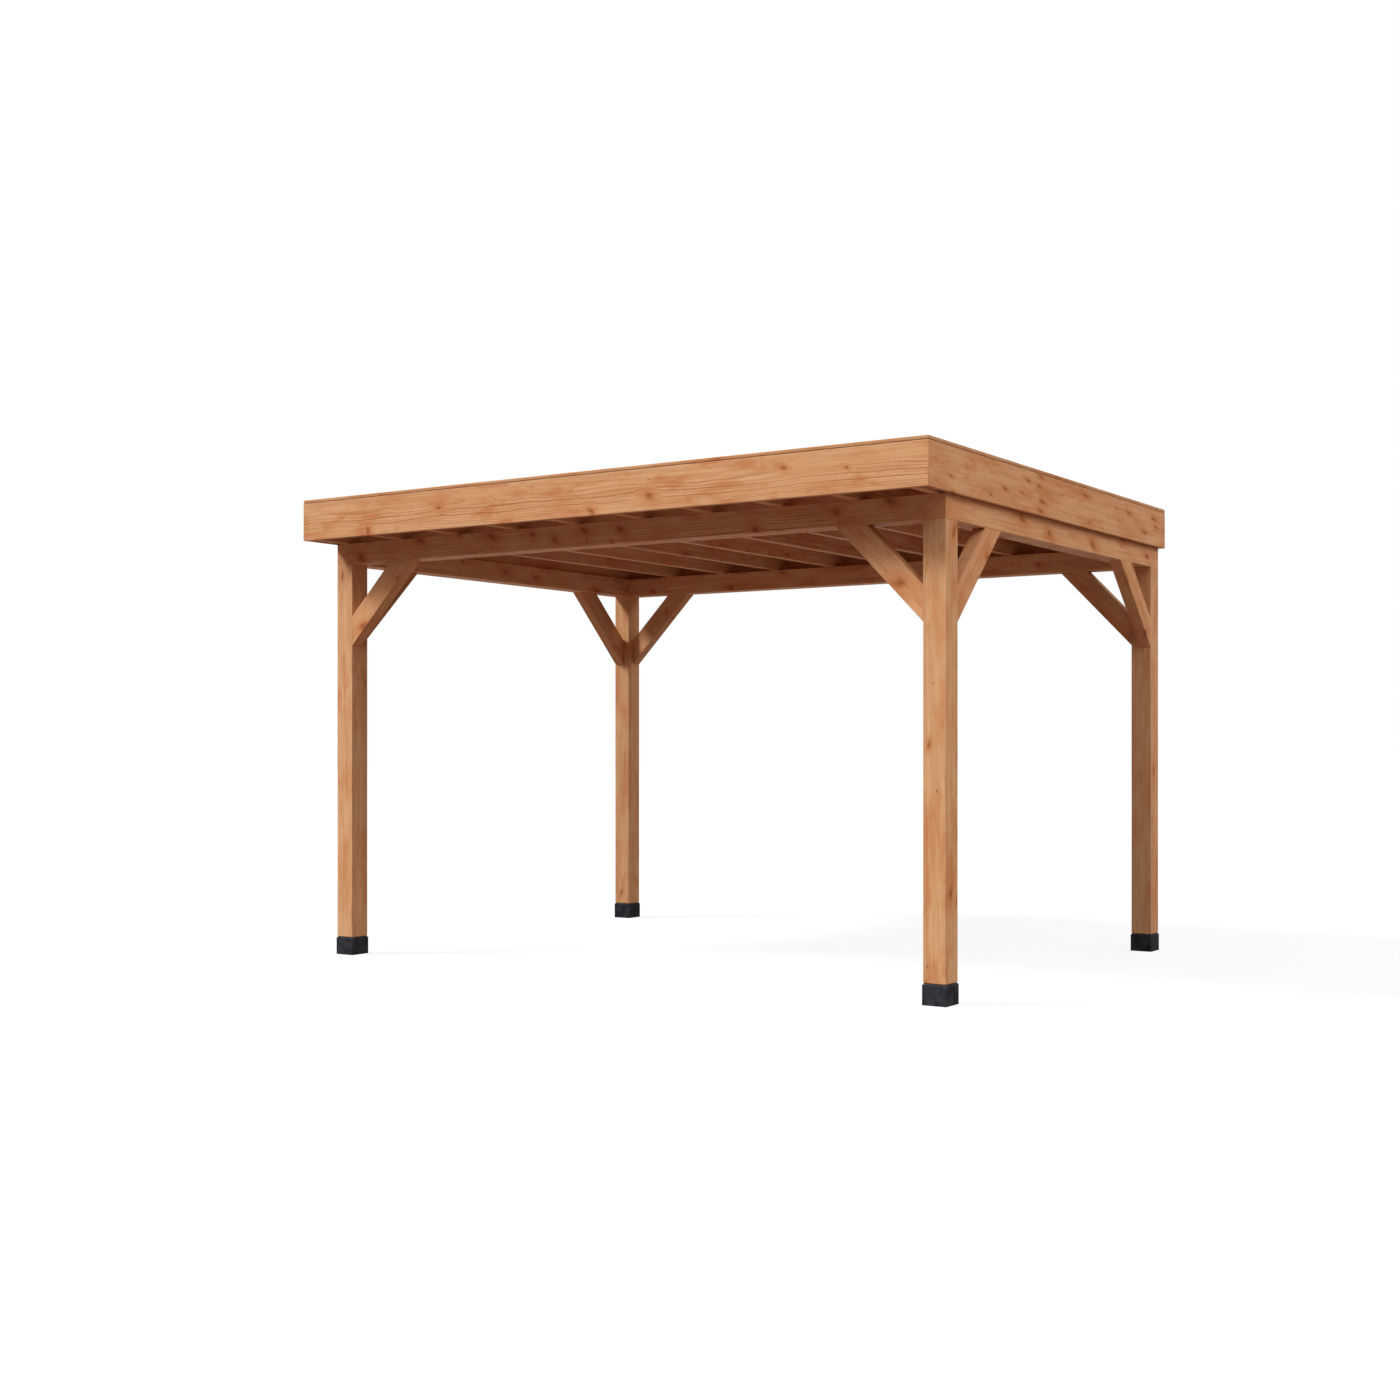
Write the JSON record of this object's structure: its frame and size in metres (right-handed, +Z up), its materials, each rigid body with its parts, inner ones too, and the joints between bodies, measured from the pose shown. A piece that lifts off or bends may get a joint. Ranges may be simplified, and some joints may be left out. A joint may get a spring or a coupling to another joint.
{
  "type": "patio canopy",
  "caption": "Open timber patio canopy: square posts on dark foot blocks, ring beams with knee braces, and a flat joisted roof with a tall boarded edge that overhangs the front.",
  "frame": {"origin": "on the ground, under the middle of the roof", "axes": "+X to the right along the front, +Y from the front to the back, +Z up"},
  "size_m": [4, 3, 2.6],
  "materials": {
    "post_timber": "planed softwood, oiled, matte",
    "beam_timber": "planed softwood, oiled, matte",
    "joist_timber": "planed softwood, matte",
    "edge_board": "planed softwood board, oiled, matte",
    "deck_board": "sawn softwood boards, matte",
    "foot_block": "dark grey, fine matte texture",
    "fixing_steel": "small countersunk screw heads, satin",
    "roof_sheet": "black sheet, dull"
  },
  "bodies": {
    "root": {"foot_front_left": "foot_block", "foot_front_right": "foot_block", "foot_back_left": "foot_block", "foot_back_right": "foot_block", "post_front_left": "post_timber", "post_front_right": "post_timber", "post_back_left": "post_timber", "post_back_right": "post_timber", "beam_front": "beam_timber", "beam_back": "beam_timber", "beam_left": "beam_timber", "beam_right": "beam_timber", "front_brace_left": "beam_timber", "front_brace_right": "beam_timber", "back_brace_left": "beam_timber", "back_brace_right": "beam_timber", "left_brace_front": "beam_timber", "left_brace_back": "beam_timber", "right_brace_front": "beam_timber", "right_brace_back": "beam_timber", "joist_1": "joist_timber", "joist_2": "joist_timber", "joist_3": "joist_timber", "joist_4": "joist_timber", "joist_5": "joist_timber", "joist_6": "joist_timber", "joist_7": "joist_timber", "joist_8": "joist_timber", "joist_9": "joist_timber", "joist_10": "joist_timber", "fascia_front": "edge_board", "fascia_back": "edge_board", "fascia_left": "edge_board", "fascia_right": "edge_board", "kerb_front": "joist_timber", "kerb_back": "joist_timber", "kerb_left": "joist_timber", "kerb_right": "joist_timber", "coping_front": "edge_board", "coping_back": "edge_board", "coping_left": "edge_board", "coping_right": "edge_board", "roof_deck": "deck_board", "roof_membrane": "roof_sheet"}
  },
  "joints": []
}
